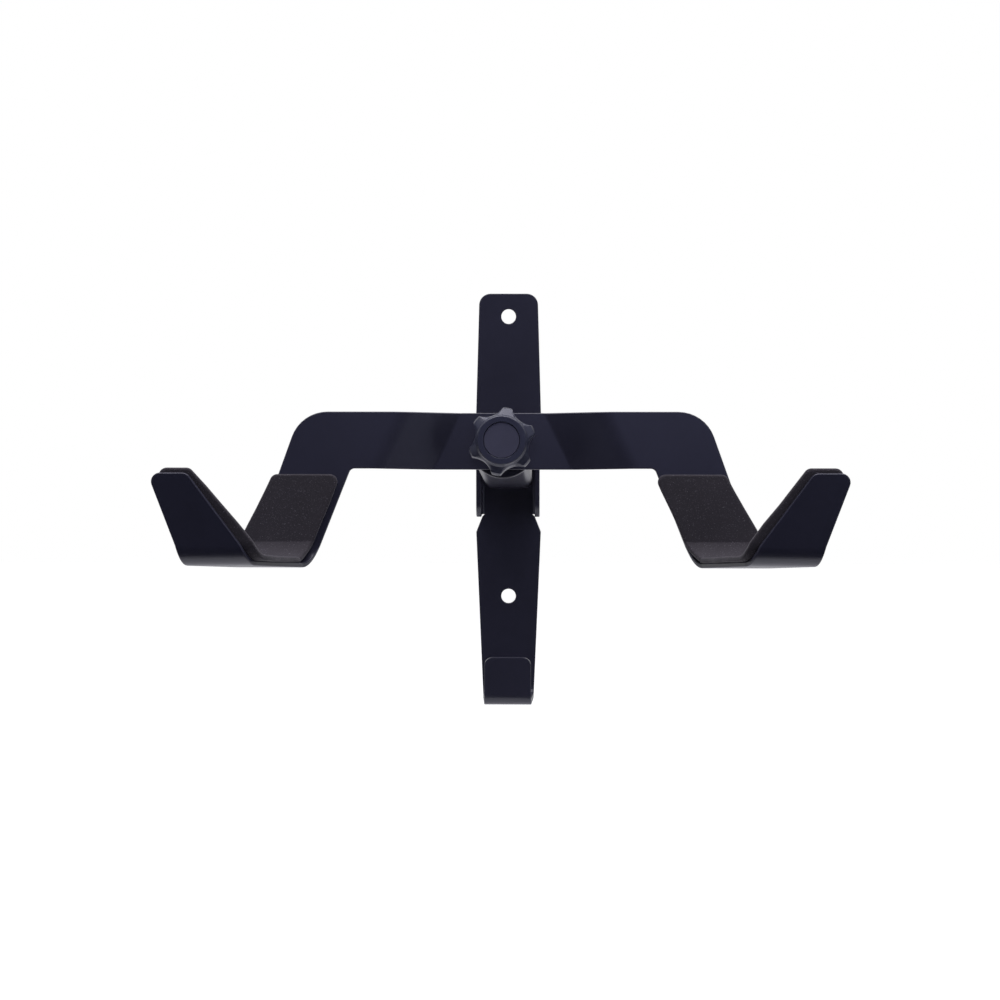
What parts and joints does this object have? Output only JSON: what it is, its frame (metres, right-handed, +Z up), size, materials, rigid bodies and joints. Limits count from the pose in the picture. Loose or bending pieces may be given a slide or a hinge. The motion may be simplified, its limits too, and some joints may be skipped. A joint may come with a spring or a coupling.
{
  "type": "bicycle wall rack",
  "caption": "Black steel wall rack that holds a bicycle by its top tube: a tapered wall plate with a helmet hook, a folding channel arm and a tilting padded cradle with a star knob.",
  "frame": {"origin": "middle of the two screw holes, on the back face of the wall plate, which lies on the wall", "axes": "+Z is up the wall, +Y goes into the wall, so the arm stands out towards -Y; +X is to the right of someone who faces the wall"},
  "size_m": [0.3474, 0.2811, 0.2505],
  "materials": {
    "black_powder_coat": "satin black powder coat on bent sheet steel",
    "zinc_steel": "bright zinc-plated steel fasteners",
    "nylon": "black nylon",
    "moulded_nylon": "moulded black nylon with a turned rim",
    "black_foam": "closed-cell foam rubber with a fine grain",
    "black_polymer": "moulded black glass-filled nylon, satin",
    "black_polymer_cap": "moulded black nylon, fine satin",
    "brass_insert": "turned brass"
  },
  "bodies": {
    "wall_mount": {"wall_plate": "black_powder_coat", "hinge_bolt": "zinc_steel", "hinge_head_washer": "zinc_steel", "hinge_nut_washer": "zinc_steel", "hinge_lock_nut": "zinc_steel", "lock_nut_collar": "nylon", "hinge_sleeve": "zinc_steel", "side_washer_left": "nylon", "side_washer_right": "nylon"},
    "swing_arm": {"swing_bracket": "black_powder_coat", "tilt_bolt": "zinc_steel", "friction_disc": "moulded_nylon"},
    "cradle": {"cradle_arm": "black_powder_coat", "foam_pad_left": "black_foam", "foam_pad_right": "black_foam"},
    "knob_carrier": {"knob_washer": "zinc_steel"},
    "knob": {"knob_body": "black_polymer", "knob_insert": "brass_insert", "knob_cap": "black_polymer_cap"}
  },
  "joints": [
    {"name": "arm_fold", "type": "hinge", "parent": "wall_mount", "child": "swing_arm", "pos_m": [0, -0.021, 0.0057], "axis": [-1, 0, 0], "range_deg": [0, 82]},
    {"name": "cradle_tilt", "type": "hinge", "parent": "swing_arm", "child": "cradle", "pos_m": [0, -0.20424, 0.01927], "axis": [0, -0.9921, 0.1253], "continuous": true},
    {"name": "knob_travel", "type": "slide", "parent": "swing_arm", "child": "knob_carrier", "axis": [0, -0.9921, 0.1253], "range_m": [0, 0.0038]},
    {"name": "knob_spin", "type": "hinge", "parent": "knob_carrier", "child": "knob", "pos_m": [0, -0.20424, 0.01927], "axis": [0, -0.9921, 0.1253], "range_deg": [0, 1080]}
  ],
  "couplings": [
    {"joint": "knob_travel", "follows": "knob_spin", "m_per_rad": 0.00019894}
  ]
}
